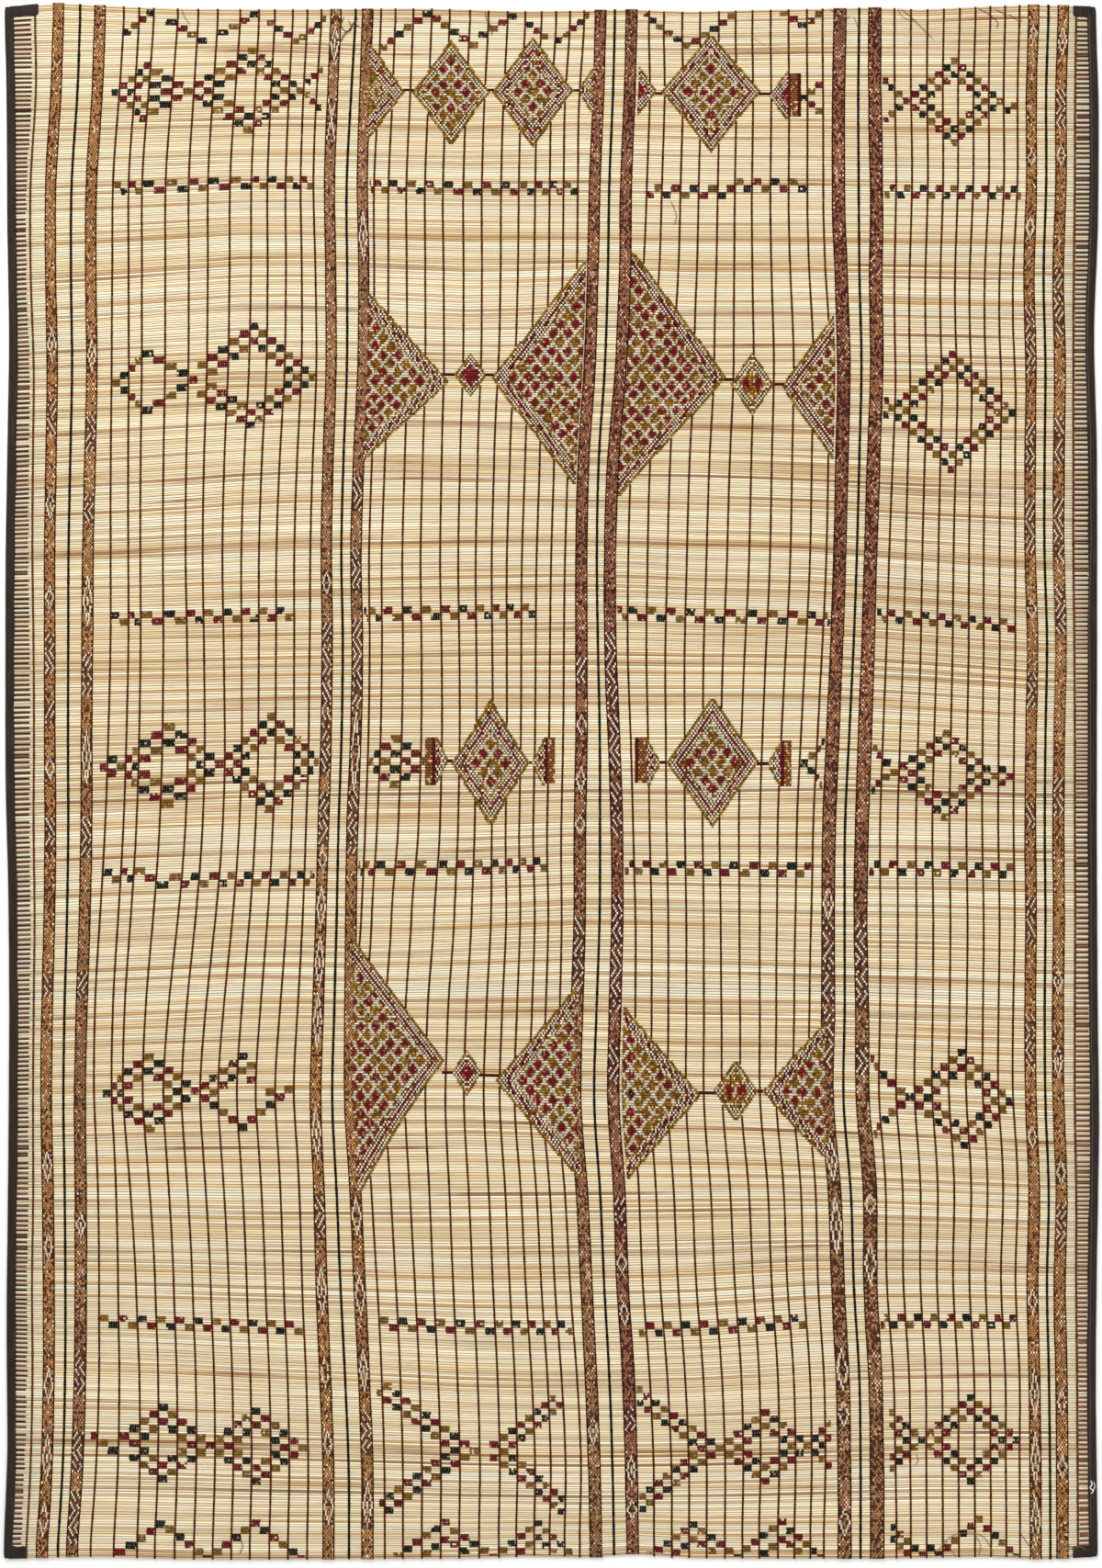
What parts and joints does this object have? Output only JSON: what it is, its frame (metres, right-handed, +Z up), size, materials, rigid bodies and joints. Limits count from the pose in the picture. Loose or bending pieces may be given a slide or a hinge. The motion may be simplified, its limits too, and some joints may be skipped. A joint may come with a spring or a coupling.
{
  "type": "tuareg reed and leather mat",
  "caption": "Flat rectangular floor mat of thin reeds tied with rows of leather thongs, with woven bands and diamonds and folded leather along both long sides.",
  "frame": {"origin": "middle of the mat's footprint, on the surface it lies on", "axes": "+Z up out of the show face, +Y along the mat's length and its thongs, +X across it along the reeds"},
  "size_m": [2.073, 2.9461, 0.006],
  "materials": {
    "reed": "thin straw-coloured reeds with satin crowns, tied with dark brown leather thongs",
    "binding_leather": "worn dull near-black leather",
    "thong_leather": "narrow dark brown leather thongs, matt",
    "dyed_leather": "narrow leather strips dyed red, ochre and green-black"
  },
  "bodies": {
    "root": {"mat_body": "reed", "binding_left": "binding_leather", "binding_right": "binding_leather"}
  },
  "joints": []
}
